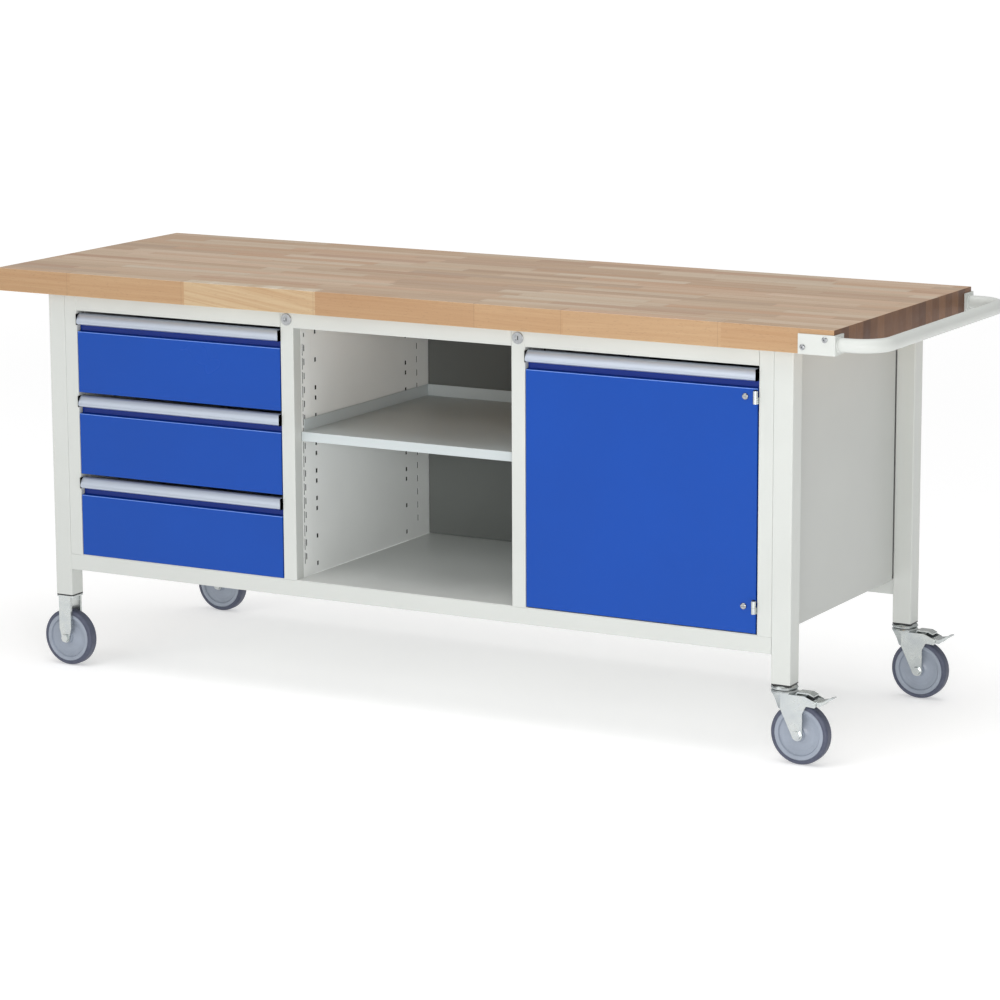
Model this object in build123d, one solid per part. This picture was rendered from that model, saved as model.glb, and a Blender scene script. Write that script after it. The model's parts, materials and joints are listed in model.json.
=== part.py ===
"""Mobile workbench: solid-wood top on a steel cabinet frame with three drawers, an open bay
and a cupboard, two fixed and two braked swivel castors, and a push bar.

Millimetres.  +X runs along the bench towards the push bar, -Y is the front, +Z is up.
The origin is on the floor, under the centre of the whole object's box.
"""
from build123d import *
import os

# ---- driving dimensions -------------------------------------------------------------------
TOP_LENGTH = 2000.0          # wooden worktop
TOP_DEPTH = 700.0
TOP_THICKNESS = 50.0
TOTAL_HEIGHT = 884.0
BAR_REACH = 100.0            # how far the push bar stands out beyond the worktop's end

FRAME_SHIFT = 12.0           # steel frame's centre, right of the worktop's centre
LEG = 42.0                   # square leg tube
POST = 32.0                  # width of a front upright
POST_DEPTH = 30.0
BAY = 524.0                  # clear width of each of the three bays
FRAME_DEPTH = 652.0
RAIL = 35.0                  # height of the top and bottom rails
OPENING_HEIGHT = 543.0
LEG_BOTTOM = 162.0
SHEET = 1.2                  # sheet-metal thickness
TUBE_WALL = 2.0

WHEEL_RADIUS = 62.5
WHEEL_WIDTH = 26.0
HUB_RADIUS = 53.5
CASTOR_TRAIL = 37.0          # swivel axis to wheel axle
FORK_INNER = 19.0            # half the gap between the fork's side plates
FORK_PLATE = 2.5

DRAWER_PITCH = OPENING_HEIGHT / 3
FRONT_GAP = 2.0              # gap beside a drawer front or the door
FRONT_DEPTH = 18.0           # depth of the folded edges of a front
RUNNER_LENGTH = 540.0
BACK_Y = 234.0               # inner back of the open bay and the cupboard

# ---- places worked out from the driving dimensions ----------------------------------------
TOP_X0 = -(TOP_LENGTH + BAR_REACH) / 2
TOP_X1 = TOP_X0 + TOP_LENGTH
TOP_UNDER = TOTAL_HEIGHT - TOP_THICKNESS
OPEN_TOP = TOP_UNDER - RAIL
OPEN_BOTTOM = OPEN_TOP - OPENING_HEIGHT
RAIL_BOTTOM = OPEN_BOTTOM - RAIL
FRONT = -FRAME_DEPTH / 2
REAR = FRAME_DEPTH / 2

BODY_LENGTH = 4 * POST + 3 * BAY
BODY_X0 = (TOP_X0 + TOP_X1) / 2 + FRAME_SHIFT - BODY_LENGTH / 2
BODY_X1 = BODY_X0 + BODY_LENGTH
POST_X = [BODY_X0 + i * (POST + BAY) for i in range(4)]
BAY_X = [(x + POST, x + POST + BAY) for x in POST_X[:3]]
DRAWER_BAY, OPEN_BAY, CUPBOARD = BAY_X

LEG_X = (BODY_X0 - LEG / 2, BODY_X1 + LEG / 2)
LEG_Y = (FRONT + LEG / 2, REAR - LEG / 2)
LEG_PLACES = [(x, y) for x in LEG_X for y in LEG_Y]

WALL_FRONT = FRONT + POST_DEPTH
WALL_REAR = REAR - RAIL - 2
CAP_THICKNESS = 3.0
CASTOR_TOP = LEG_BOTTOM - CAP_THICKNESS
STEM_RADIUS = 6.0
LOCK_Z = TOP_UNDER - RAIL / 2
LOCK_X = [POST_X[1] + POST / 2, POST_X[2] + POST / 2]


# ---- helpers ------------------------------------------------------------------------------
def slab(x0, x1, y0, y1, z0, z1):
    """A box between two corners."""
    middle = Pos((x0 + x1) / 2, (y0 + y1) / 2, (z0 + z1) / 2)
    return middle * Box(x1 - x0, y1 - y0, z1 - z0)


def along_x(points, x0, x1):
    """A (y, z) outline pushed from x0 to x1."""
    outline = Plane.YZ.offset(x0) * Polygon(*points, align=None)
    return extrude(outline, amount=x1 - x0, dir=(1, 0, 0))


def along_y(points, y0, y1):
    """An (x, z) outline pushed from y0 to y1."""
    outline = Plane.XZ.offset(-y1) * Polygon(*points, align=None)
    return extrude(outline, amount=y1 - y0, dir=(0, -1, 0))


def along_z(points, z0, z1):
    """An (x, y) outline pushed from z0 to z1."""
    outline = Plane.XY.offset(z0) * Polygon(*points, align=None)
    return extrude(outline, amount=z1 - z0, dir=(0, 0, 1))


def rod_z(x, y, z0, z1, radius):
    """An upright cylinder."""
    return Pos(x, y, (z0 + z1) / 2) * Cylinder(radius, z1 - z0)


def rod_y(x, z, y0, y1, radius):
    """A cylinder along Y."""
    return Pos(x, (y0 + y1) / 2, z) * Rot(90, 0, 0) * Cylinder(radius, y1 - y0)


def hex_y(x, z, y0, y1, across_corners_radius):
    """A hexagonal bolt head or nut along Y."""
    outline = Plane.XZ.offset(-y1) * Pos(x, z) * RegularPolygon(across_corners_radius, 6)
    return extrude(outline, amount=y1 - y0)


def tube_z(x, y, side_x, side_y, z0, z1, wall):
    """An upright box-section tube, centred on x, y, with rounded corners."""
    outer = Pos(x, y, z0) * extrude(RectangleRounded(side_x, side_y, 2.0), amount=z1 - z0)
    hollow = Pos(x, y, (z0 + z1) / 2) * Box(side_x - 2 * wall, side_y - 2 * wall, z1 - z0)
    return outer - hollow


def tube_x(y, z, side_y, side_z, x0, x1, wall):
    """A lengthwise box-section tube, centred on y, z, with rounded corners."""
    outline = Plane.YZ.offset(x0) * Pos(y, z) * RectangleRounded(side_y, side_z, 1.5)
    outer = extrude(outline, amount=x1 - x0)
    hollow = Pos((x0 + x1) / 2, y, z) * Box(x1 - x0, side_y - 2 * wall, side_z - 2 * wall)
    return outer - hollow


def save(name, *solids):
    """Write one node: every solid of it, in the bench's own frame."""
    loose = []
    for item in solids:
        loose.extend(item.solids())
    shape = loose[0] if len(loose) == 1 else Compound(children=[Compound([s]) for s in loose])
    export_step(shape, f"parts/{name}.step")


# ---- worktop ------------------------------------------------------------------------------
def worktop():
    board = slab(TOP_X0, TOP_X1, -TOP_DEPTH / 2, TOP_DEPTH / 2, TOP_UNDER, TOTAL_HEIGHT)
    return fillet(board.edges(), 1.5)


# ---- frame --------------------------------------------------------------------------------
def legs():
    return [tube_z(x, y, LEG, LEG, LEG_BOTTOM, TOP_UNDER, TUBE_WALL) for x, y in LEG_PLACES]


def leg_caps():
    """Plastic plugs that close the leg tubes and take the castor stems."""
    plug_side = LEG - 2 * TUBE_WALL - 0.4
    plug_top = LEG_BOTTOM + 26
    caps = []
    for x, y in LEG_PLACES:
        rim = Pos(x, y, CASTOR_TOP) * extrude(RectangleRounded(LEG, LEG, 2.5), amount=CAP_THICKNESS)
        plug = slab(x - plug_side / 2, x + plug_side / 2, y - plug_side / 2, y + plug_side / 2,
                    LEG_BOTTOM, plug_top)
        caps.append(rim + plug - rod_z(x, y, CASTOR_TOP - 1, plug_top + 1, STEM_RADIUS + 0.1))
    return caps


def castor_stems():
    return [rod_z(x, y, CASTOR_TOP + 0.2, LEG_BOTTOM + 34, STEM_RADIUS) for x, y in LEG_PLACES]


def bottom_rails():
    z = RAIL_BOTTOM + RAIL / 2
    return [tube_x(y, z, RAIL, RAIL, BODY_X0, BODY_X1, TUBE_WALL)
            for y in (FRONT + RAIL / 2, REAR - RAIL / 2)]


def top_rails():
    z = TOP_UNDER - RAIL / 2
    rails = [tube_x(FRONT + POST_DEPTH / 2, z, POST_DEPTH, RAIL, x0, x1, TUBE_WALL)
             for x0, x1 in BAY_X]
    rails.append(tube_x(REAR - RAIL / 2, z, RAIL, RAIL, BODY_X0, BODY_X1, TUBE_WALL))
    return rails


def front_posts():
    """Hollow uprights; the two middle ones are bored for a lock."""
    posts = []
    for x in POST_X:
        post = tube_z(x + POST / 2, FRONT + POST_DEPTH / 2, POST, POST_DEPTH,
                      OPEN_BOTTOM, TOP_UNDER, 1.5)
        if x in POST_X[1:3]:
            post -= rod_y(x + POST / 2, LOCK_Z, FRONT - 1, FRONT + 5, LOCK_BARREL + 0.1)
        posts.append(post)
    return posts


def side_panels():
    """Outer sheets between the front and rear legs, each edge folded inwards."""
    front_edge = WALL_FRONT
    rear_edge = REAR - LEG - 5
    fold = 14.0
    sheets = []
    for x, inward in ((BODY_X0, 1), (BODY_X1, -1)):
        outline = [(x, front_edge), (x, rear_edge), (x + inward * fold, rear_edge),
                   (x + inward * fold, rear_edge - SHEET), (x + inward * SHEET, rear_edge - SHEET),
                   (x + inward * SHEET, front_edge)]
        sheets.append(along_z(outline, OPEN_BOTTOM, TOP_UNDER - 0.5))
    return sheets


def back_panel():
    """Outer back sheet between the rear rails, its edges folded forwards."""
    y = REAR - 6
    x0, x1 = BODY_X0 + 2, BODY_X1 - 2
    fold = 12.0
    outline = [(x0, y), (x1, y), (x1, y - fold), (x1 - SHEET, y - fold), (x1 - SHEET, y - SHEET),
               (x0 + SHEET, y - SHEET), (x0 + SHEET, y - fold), (x0, y - fold)]
    return along_z(outline, OPEN_BOTTOM + 0.5, OPEN_TOP - 0.5)


def inner_back_panels():
    return [slab(x0 + 0.5, x1 - 0.5, BACK_Y, BACK_Y + SHEET, OPEN_BOTTOM + 2, TOP_UNDER - 1)
            for x0, x1 in (OPEN_BAY, CUPBOARD)]


# ---- bay linings --------------------------------------------------------------------------
JOGGLE = 1.0                 # the lining steps back this far behind its slotted front strip
STRIP_REAR = -258.0
SLOT_PITCH = 30.0


def lining(face, outward):
    """One wall sheet of a bay; its front strip is flush with the upright beside it."""
    back = face + outward * JOGGLE
    outline = [(face, WALL_FRONT), (face, STRIP_REAR), (back, STRIP_REAR + 2), (back, WALL_REAR),
               (back + outward * SHEET, WALL_REAR), (back + outward * SHEET, STRIP_REAR + 1),
               (face + outward * SHEET, STRIP_REAR - 1), (face + outward * SHEET, WALL_FRONT)]
    return along_z(outline, OPEN_BOTTOM + SHEET, TOP_UNDER - 1)


def slot_row(face, y, width, length, first, pitch, count):
    """Upright slots, one under the other, through a lining at the given face."""
    reach = 5.0
    return [slab(face - reach, face + reach, y - width / 2, y + width / 2,
                 first - i * pitch - length / 2, first - i * pitch + length / 2)
            for i in range(count)]


def slotted_lining(face, outward):
    """A lining punched with the slots and hook holes that carry shelves."""
    cuts = slot_row(face, WALL_FRONT + 6, 4.0, 25.0, 748.0, SLOT_PITCH, 16)
    cuts += slot_row(face, -284.0, 5.0, 14.0, 751.0, SLOT_PITCH, 16)
    cuts += slot_row(face, -284.0, 5.0, 9.0, 779.0, SLOT_PITCH, 1)
    for column in (-238.0, 138.0):
        cuts += slot_row(face, column, 8.0, 9.5, 780.0, 60.0, 7)
        cuts += slot_row(face, column, 8.0, 9.5, 638.0, 60.0, 7)
    cuts += slot_row(face, 187.0, 5.0, 14.0, 751.0, SLOT_PITCH, 16)
    return lining(face, outward) - cuts


def bay_floors():
    return [slab(x0, x1, FRONT + 1, WALL_REAR, OPEN_BOTTOM, OPEN_BOTTOM + SHEET)
            for x0, x1 in BAY_X]


# ---- shelves ------------------------------------------------------------------------------
SHELF_Z = 574.0
CUPBOARD_SHELF_Z = 514.0
SHELF_FRONT = -300.0
SHELF_LIP = 20.0
SHELF_FLANGE = 25.0


def shelf(x0, x1, z):
    """Folded shelf: lip turned down in front, flanges turned up at the sides and the back."""
    gap = 1.5
    left, right = x0 + gap, x1 - gap
    rear = BACK_Y - 3
    deck = slab(left, right, SHELF_FRONT, rear, z - SHEET, z)
    lip = slab(left, right, SHELF_FRONT, SHELF_FRONT + SHEET, z - SHELF_LIP, z)
    hem = slab(left, right, SHELF_FRONT, SHELF_FRONT + 12, z - SHELF_LIP, z - SHELF_LIP + SHEET)
    back = slab(left, right, rear - SHEET, rear, z - SHEET, z + SHELF_FLANGE)
    pan = deck + lip + hem + back
    for side in (left, right - SHEET):
        pan += slab(side, side + SHEET, SHELF_FRONT + 10, rear, z - SHEET, z + SHELF_FLANGE)
    front_bends = pan.edges().filter_by(Axis.X).group_by(Axis.Y)[0]
    return fillet(front_bends, 0.5)


def shelf_clips():
    """Hooked clips under the shelf corners, each through a slot of the lining."""
    clips = []
    for (x0, x1), shelf_z in ((OPEN_BAY, SHELF_Z), (CUPBOARD, CUPBOARD_SHELF_Z)):
        top = shelf_z - SHEET - 0.1
        for face, inward in ((x0, 1), (x1, -1)):
            for y in (-238.0, 138.0):
                near, far = sorted((face + inward * 0.1, face + inward * 14))
                ledge = slab(near, far, y - 3.5, y + 3.5, top - 2, top)
                near, far = sorted((face + inward * 0.1, face + inward * 2.1))
                clips.append(ledge + slab(near, far, y - 3.5, y + 3.5, top - 16, top))
    return clips


# ---- drawers ------------------------------------------------------------------------------
RUNNER_Y0 = FRONT + FRONT_DEPTH + 2
TRAY_WIDTH = BAY - 26.0
GRIP_CAP = 1.2               # room for a thin end cap at each end of a grip strip
HANDLE_TOP = -6.0            # heights below are measured from the opening's top edge
BEND_LOW = -46.0
BEND_HIGH = -43.5
RECESS = 11.0
FRONT_SKIN = 1.5
FRONT_BEND = 1.8             # outside radius of the folds in the front's face


def front_pan(x0, x1, top, bottom):
    """A folded front: flat below, stepped back near the top to make room for fingers."""
    low = bottom - top
    skin = [(0, low), (0, BEND_LOW), (RECESS, BEND_HIGH), (RECESS, HANDLE_TOP),
            (RECESS + FRONT_SKIN, HANDLE_TOP), (RECESS + FRONT_SKIN, BEND_HIGH - FRONT_SKIN),
            (FRONT_SKIN, BEND_LOW - FRONT_SKIN), (FRONT_SKIN, low + FRONT_SKIN),
            (FRONT_DEPTH, low + FRONT_SKIN), (FRONT_DEPTH, low)]
    end = [(0, low), (0, BEND_LOW), (RECESS, BEND_HIGH), (RECESS, HANDLE_TOP),
           (FRONT_DEPTH, HANDLE_TOP), (FRONT_DEPTH, low)]
    skin = [(FRONT + y, top + z) for y, z in skin]
    end = [(FRONT + y, top + z) for y, z in end]
    pan = along_x(skin, x0, x1)
    pan += along_x(end, x0, x0 + FRONT_SKIN) + along_x(end, x1 - FRONT_SKIN, x1)
    return fillet(pan.edges().filter_by(Axis.X).group_by(Axis.Y)[0], FRONT_BEND)


def in_place(outline, x, top):
    """A (depth, height) outline set at the front's face and the opening's top edge."""
    return [(x, FRONT + y, top + z) for y, z in outline]


def grip_strip(x0, x1, top):
    """Extruded grip: a curved face that falls forwards to a lip, and a short inward return."""
    start = x0 + GRIP_CAP
    outer = [(6.5, -6.0), (2.0, -8.4), (-2.5, -13.2), (-5.5, -18.6), (-7.0, -25.0)]
    lip = [(-7.0, -25.0), (-5.5, -28.0), (2.0, -31.0), (2.6, -29.2), (-3.4, -26.6), (-5.0, -24.6)]
    inner = [(-5.0, -24.6), (-3.6, -19.2), (-0.9, -14.5), (3.2, -10.2), (7.2, -8.0)]
    web = [(7.2, -8.0), (9.0, -8.0), (9.0, -30.0), (RECESS, -30.0), (RECESS, -6.0), (6.5, -6.0)]
    runs = [Spline(*in_place(outer, start, top)), Polyline(*in_place(lip, start, top)),
            Spline(*in_place(inner, start, top)), Polyline(*in_place(web, start, top))]
    edges = [edge for run in runs for edge in run.edges()]
    return extrude(make_face(edges), amount=x1 - GRIP_CAP - start, dir=(1, 0, 0))


def drawer_levels(number):
    """Top of the drawer's own share of the opening, and the bottom of its front."""
    top = OPEN_TOP - (number - 1) * DRAWER_PITCH
    return top, top - DRAWER_PITCH + 1.5


def tray(number):
    """The drawer's steel box."""
    bottom = drawer_levels(number)[1]
    middle = sum(DRAWER_BAY) / 2
    x0, x1 = middle - TRAY_WIDTH / 2, middle + TRAY_WIDTH / 2
    y0, y1 = FRONT + FRONT_DEPTH, RUNNER_Y0 + RUNNER_LENGTH
    z0, z1 = bottom + 8, bottom + 128
    outside = slab(x0, x1, y0, y1, z0, z1)
    inside = slab(x0 + SHEET, x1 - SHEET, y0 + SHEET, y1 - SHEET, z0 + SHEET, z1 + 1)
    return outside - inside


def channel(wall_x, open_x, z, half_height):
    """A C-shaped runner member whose web is at wall_x and whose flanges reach to open_x."""
    sign = 1 if open_x > wall_x else -1
    web = wall_x + sign * SHEET
    outline = [(wall_x, z - half_height), (open_x, z - half_height),
               (open_x, z - half_height + SHEET), (web, z - half_height + SHEET),
               (web, z + half_height - SHEET), (open_x, z + half_height - SHEET),
               (open_x, z + half_height), (wall_x, z + half_height)]
    return along_y(outline, RUNNER_Y0, RUNNER_Y0 + RUNNER_LENGTH)


def runner_pair(number, web, flange_end, half_height):
    """Left and right members; web and flange_end count inwards from the bay's side."""
    z = drawer_levels(number)[1] + 68
    x0, x1 = DRAWER_BAY
    return [channel(x0 + web, x0 + flange_end, z, half_height),
            channel(x1 - web, x1 - flange_end, z, half_height)]


def fixed_runners(number):
    return runner_pair(number, 0.0, 10.5, 22.5)


def middle_runners(number):
    return runner_pair(number, 2.2, 11.0, 20.5)


def drawer_runners(number):
    return runner_pair(number, 13.0, 4.5, 18.5)


# ---- door ---------------------------------------------------------------------------------
DOOR_X0 = CUPBOARD[0] + FRONT_GAP
DOOR_X1 = CUPBOARD[1] - 2.7
HINGE_X = CUPBOARD[1] - 5.2
HINGE_Y = FRONT - 5.0
HINGE_RADIUS = 5.0
HINGE_PIN = 2.6
HINGE_HEIGHT = 26.0
HINGE_Z = (313.5, 736.5)
HINGE_SCREW_X = HINGE_X - 24.0
DOOR_BOTTOM = OPEN_BOTTOM + 3.0


def door_panel():
    """The door's folded pan, notched round its two hinge barrels."""
    pan = front_pan(DOOR_X0, DOOR_X1, OPEN_TOP, DOOR_BOTTOM)
    for z in HINGE_Z:
        reach = HINGE_HEIGHT / 2 + 1.5
        pan -= slab(HINGE_X - 6.5, DOOR_X1 + 1, FRONT - 1, FRONT + 1.6, z - reach, z + reach)
        pan -= rod_y(HINGE_SCREW_X, z, FRONT - 1, FRONT + 2, 2.6)
    return pan


def hinge_frame_leaves():
    """Lower knuckles with their pins, each on a leaf against the right upright."""
    leaf_x0, leaf_x1 = CUPBOARD[1] - 1.3, CUPBOARD[1] - 0.1
    leaves = []
    for z in HINGE_Z:
        z0, z1 = z - HINGE_HEIGHT / 2, z - 0.3
        knuckle = rod_z(HINGE_X, HINGE_Y, z0, z1, HINGE_RADIUS)
        leaf = slab(leaf_x0, leaf_x1, HINGE_Y, FRONT + POST_DEPTH - 2, z0, z1)
        pin = rod_z(HINGE_X, HINGE_Y, z1, z + HINGE_HEIGHT / 2 - 1, HINGE_PIN)
        leaves.append(knuckle + leaf + pin)
    return leaves


def hinge_door_leaves():
    """Upper knuckles, each on a leaf that passes behind the door's skin."""
    leaves = []
    for z in HINGE_Z:
        z0, z1 = z, z + HINGE_HEIGHT / 2
        knuckle = rod_z(HINGE_X, HINGE_Y, z0, z1, HINGE_RADIUS)
        neck = slab(HINGE_X - 4.9, HINGE_X - 3.4, HINGE_Y, FRONT + 3.2, z0, z1)
        leaf = slab(HINGE_SCREW_X - 9, HINGE_X - 3.4, FRONT + 1.7, FRONT + 3.2, z0, z1)
        lower = slab(HINGE_SCREW_X - 9, HINGE_X - 7.5, FRONT + 1.7, FRONT + 3.2, z - 13, z1)
        bored = knuckle - rod_z(HINGE_X, HINGE_Y, z0 - 1, z1 - 0.8, HINGE_PIN + 0.06)
        clear = rod_z(HINGE_X, HINGE_Y, z0 - 1, z1 - 0.8, HINGE_PIN + 0.06)
        hole = rod_y(HINGE_SCREW_X, z, FRONT, FRONT + 5, 2.6)
        leaves.append((bored + neck + leaf + lower) - clear - hole)
    return leaves


def door_screws():
    """Round-headed, slotted screws that hold the hinge leaves to the door."""
    screws = []
    for z in HINGE_Z:
        head = rod_y(HINGE_SCREW_X, z, FRONT - 3.6, FRONT - 0.05, 6.8)
        head = fillet(head.edges().group_by(Axis.Y)[0], 2.8)
        slot = slab(HINGE_SCREW_X - 8, HINGE_SCREW_X + 8, FRONT - 5, FRONT - 2.2, z - 0.7, z + 0.7)
        screws.append(head - slot + rod_y(HINGE_SCREW_X, z, FRONT - 1, FRONT + 7, 2.5))
    return screws


# ---- locks --------------------------------------------------------------------------------
LOCK_BARREL = 9.5
LOCK_BEZEL = 12.5
LOCK_PLUG = 6.5
LOCK_DEPTH = 20.0
CAM_REACH = 12.5             # from the plug's axis to the cam's tip
CAM_SIDE = 4.5


def lock_housing(x):
    bezel = rod_y(x, LOCK_Z, FRONT - 2.5, FRONT - 0.05, LOCK_BEZEL)
    bezel = fillet(bezel.edges().group_by(Axis.Y)[0], 0.8)
    barrel = rod_y(x, LOCK_Z, FRONT - 1, FRONT + LOCK_DEPTH, LOCK_BARREL)
    return bezel + barrel - rod_y(x, LOCK_Z, FRONT - 4, FRONT + LOCK_DEPTH + 1, LOCK_PLUG)


def lock_plug(x):
    """The turning core, with its key slot in front and a cam behind, inside the upright."""
    core = rod_y(x, LOCK_Z, FRONT - 1.9, FRONT + LOCK_DEPTH + 1.5, LOCK_PLUG - 0.06)
    face = rod_y(x, LOCK_Z, FRONT - 3, FRONT - 1.5, 4.8)
    key_slot = slab(x - 0.9, x + 0.9, FRONT - 3, FRONT + 12, LOCK_Z - 4, LOCK_Z + 4)
    cam_y0, cam_y1 = FRONT + LOCK_DEPTH + 1, FRONT + LOCK_DEPTH + 4
    cam = slab(x - CAM_SIDE, x + CAM_SIDE, cam_y0, cam_y1, LOCK_Z - CAM_REACH, LOCK_Z)
    cam = fillet(cam.edges().filter_by(Axis.Y).group_by(Axis.Z)[0], 3.0)
    boss = rod_y(x, LOCK_Z, cam_y0, cam_y1, LOCK_PLUG - 0.06)
    return core - face - key_slot + cam + boss


# ---- push bar -----------------------------------------------------------------------------
BAR_TUBE = 14.0
BAR_BEND = 60.0
BAR_Z = TOP_UNDER + 20.0
BRACKET = 4.0
BRACKET_LENGTH = 79.0
BRACKET_SIDE = 42.0
BRACKET_X1 = TOP_X1 + BRACKET
BAR_Y_END = TOP_DEPTH / 2 - 17.0
SCREW_SPOTS = ((BRACKET_X1 - 69, BAR_Z - 6), (BRACKET_X1 - 22, BAR_Z + 11))


def push_bar():
    """The tube, from one bracket round to the other."""
    outer_x = TOP_X1 + BAR_REACH - BAR_TUBE
    corners = [(BRACKET_X1, -BAR_Y_END, BAR_Z), (outer_x, -BAR_Y_END, BAR_Z),
               (outer_x, BAR_Y_END, BAR_Z), (BRACKET_X1, BAR_Y_END, BAR_Z)]
    path = FilletPolyline(*corners, radius=BAR_BEND)
    mouth = Plane(origin=corners[0], z_dir=(1, 0, 0))
    ring = mouth * (Circle(BAR_TUBE) - Circle(BAR_TUBE - TUBE_WALL))
    return sweep(ring, path=path)


def push_bar_bracket(side):
    """Angle plate round a corner of the worktop; side is -1 in front and 1 behind."""
    face = side * TOP_DEPTH / 2
    z0, z1 = BAR_Z - 20, BAR_Z + 20
    outer = face + side * BRACKET
    y0, y1 = sorted((face, outer))
    plate = slab(BRACKET_X1 - BRACKET_LENGTH, BRACKET_X1, y0, y1, z0, z1)
    y0, y1 = sorted((outer, outer - side * BRACKET_SIDE))
    angle = plate + slab(TOP_X1, BRACKET_X1, y0, y1, z0, z1)
    corner = angle.edges().filter_by(Axis.Z).group_by(Axis.X)[-1].sort_by(Axis.Y)
    angle = fillet(corner[0] if side < 0 else corner[-1], 2.0)
    for x, z in SCREW_SPOTS:
        angle -= rod_y(x, z, min(face, outer) - 1, max(face, outer) + 1, 3.2)
    return angle


def bracket_screws():
    screws = []
    for side in (-1, 1):
        face = side * (TOP_DEPTH / 2 + BRACKET)
        for x, z in SCREW_SPOTS:
            y0, y1 = sorted((face + side * 0.05, face + side * 3.0))
            head = rod_y(x, z, y0, y1, 5.8)
            rim = head.edges().group_by(Axis.Y)[0 if side < 0 else -1]
            y0, y1 = sorted((face + side * 1.0, face - side * BRACKET))
            socket = hex_y(x, z, *sorted((face + side * 1.0, face + side * 4.0)), 2.6)
            screws.append(fillet(rim, 2.0) - socket + rod_y(x, z, y0, y1, 3.0))
    return screws


# ---- castors ------------------------------------------------------------------------------
AXLE_RADIUS = 6.0
FORK_OUTER = FORK_INNER + FORK_PLATE
HEAD_RADIUS = 28.0
CROWN_TOP = 144.0
CROWN = 3.0
RACE_TOP = 150.0
RACE_GAP = 0.6
KINGPIN = 7.0
NOSE_BOTTOM = 113.0
NOSE_REACH_TOP = 28.0        # forwards of the swivel axis, at the crown
NOSE_REACH_BOTTOM = 10.0
PEDAL_PIVOT = (71.0, 130.0)
PEDAL_PIN = 3.0


def fixed_fork(x, y):
    """Pressed fork of a fixed castor: top plate and two flanged side plates."""
    plate = Pos(x, y, CASTOR_TOP - 3.5) * extrude(RectangleRounded(44, 2 * FORK_OUTER, 6), amount=3.5)
    half, shoulder = 15.5, WHEEL_RADIUS + 22
    blade = [(x - half, CASTOR_TOP - 1), (x - half, shoulder), (x - 9, WHEEL_RADIUS - 4),
             (x + 9, WHEEL_RADIUS - 4), (x + half, shoulder), (x + half, CASTOR_TOP - 1)]
    fork = plate
    for side in (-1, 1):
        y0, y1 = sorted((y + side * FORK_INNER, y + side * FORK_OUTER))
        fork += along_y(blade, y0, y1) + rod_y(x, WHEEL_RADIUS, y0, y1, 10.5)
        y0, y1 = sorted((y + side * (FORK_INNER - 3.5), y + side * FORK_OUTER))
        for edge in (x - half, x + half - 2):
            fork += slab(edge, edge + 2, y0, y1, shoulder, CASTOR_TOP - 1)
    return fork - rod_y(x, WHEEL_RADIUS, y - 30, y + 30, AXLE_RADIUS)


def axle(x, y):
    """Axle bolt with its hexagon head in front and nut behind."""
    shank = rod_y(x, WHEEL_RADIUS, y - FORK_OUTER - 1, y + FORK_OUTER + 1, AXLE_RADIUS)
    head = hex_y(x, WHEEL_RADIUS, y - FORK_OUTER - 4.5, y - FORK_OUTER - 0.02, 9.0)
    nut = hex_y(x, WHEEL_RADIUS, y + FORK_OUTER + 0.02, y + FORK_OUTER + 4.5, 9.0)
    return shank + head + nut


def turned(points, x, y, z):
    """A (radius, height) outline turned about the upright line through x, y."""
    face = make_face(Plane.XZ * Polyline(*points, close=True))
    return Pos(x, y, z) * revolve(face, axis=Axis.Z)


def swivel_head(x, y):
    """Upper race of a swivel castor, with the kingpin that carries the fork."""
    low = RACE_TOP + RACE_GAP
    race = [(0, low), (HEAD_RADIUS - 4, low), (HEAD_RADIUS - 1, low + 1.5),
            (HEAD_RADIUS, low + 4), (HEAD_RADIUS - 1.5, low + 6.5), (HEAD_RADIUS - 6, CASTOR_TOP),
            (0, CASTOR_TOP)]
    foot = CROWN_TOP - CROWN - 3.5
    pin = rod_z(x, y, foot, low + 1, KINGPIN) + rod_z(x, y, foot, foot + 3, KINGPIN + 4)
    return turned(race, x, y, 0) + pin


def nose_section(x, y, z, inset, rear):
    """Level outline of the fork's nose, drawn in by inset and closed at rear."""
    rise = (z - NOSE_BOTTOM) / (CROWN_TOP - NOSE_BOTTOM)
    reach = NOSE_REACH_BOTTOM + rise * (NOSE_REACH_TOP - NOSE_REACH_BOTTOM) - inset
    side = FORK_OUTER - inset
    half = [(rear, side), (0, side), (-0.68 * reach, 0.72 * side), (-reach, 0.25 * side)]
    outline = half + [(dx, -dy) for dx, dy in reversed(half)]
    return Plane.XY.offset(z) * Polygon(*[(x + dx, y + dy) for dx, dy in outline], align=None)


def fork_nose(x, y):
    """The pressed sheet wrapped round the front of the fork, tapering down to its side plates."""
    outer = loft([nose_section(x, y, z, 0.0, 2.0) for z in (NOSE_BOTTOM, CROWN_TOP)], ruled=True)
    below, above = NOSE_BOTTOM - 1, CROWN_TOP + 1
    return outer - loft([nose_section(x, y, z, FORK_PLATE, 4.0) for z in (below, above)], ruled=True)


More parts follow.
